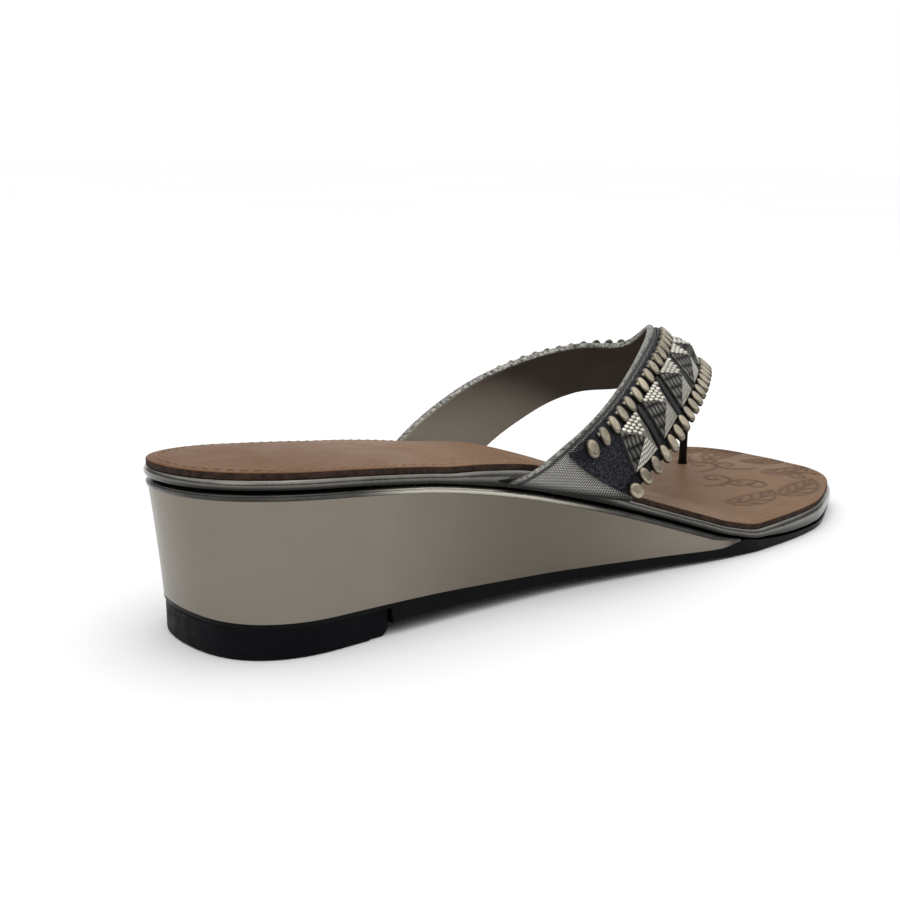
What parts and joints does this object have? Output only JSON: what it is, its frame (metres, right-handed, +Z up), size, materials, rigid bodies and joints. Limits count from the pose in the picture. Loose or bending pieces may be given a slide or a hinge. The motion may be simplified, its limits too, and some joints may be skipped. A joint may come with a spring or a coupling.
{
  "type": "wedge thong sandal",
  "caption": "Low wedge thong sandal for the right foot: wrapped wedge and footbed, square toe, V strap set with studs and pyramids, toe post between the toes.",
  "frame": {"origin": "middle of the shoe's box at floor level", "axes": "+X from heel to toe, +Y towards the big toe's side, +Z up"},
  "size_m": [0.2454, 0.0903, 0.0636],
  "materials": {
    "lift_rubber": "dull dark grey",
    "black_rubber": "satin black",
    "pewter_sheet": "smooth metallic pewter",
    "dark_pewter_sheet": "glossy gunmetal",
    "brown_sock": "glossy brown, tooled at the forefoot",
    "pewter_weave": "fine diagonal metallic weave",
    "dark_panel": "grained blue-black",
    "dark_cord": "matt black",
    "antique_stud": "pale antique metal",
    "pyramid_metal": "plated, each side textured its own way"
  },
  "bodies": {
    "root": {"heel_lift": "lift_rubber", "outsole": "black_rubber", "wedge": "pewter_sheet", "footbed_board": "dark_pewter_sheet", "insole": "brown_sock", "strap": "pewter_weave", "strap_overlay": "dark_panel", "toe_post": "dark_cord", "stud_row_back": "antique_stud", "stud_row_front": "antique_stud", "pyramid_01": "pyramid_metal", "pyramid_02": "pyramid_metal", "pyramid_03": "pyramid_metal", "pyramid_04": "pyramid_metal", "pyramid_05": "pyramid_metal", "pyramid_06": "pyramid_metal", "pyramid_07": "pyramid_metal", "pyramid_08": "pyramid_metal", "pyramid_09": "pyramid_metal", "pyramid_10": "pyramid_metal", "pyramid_11": "pyramid_metal"}
  },
  "joints": []
}
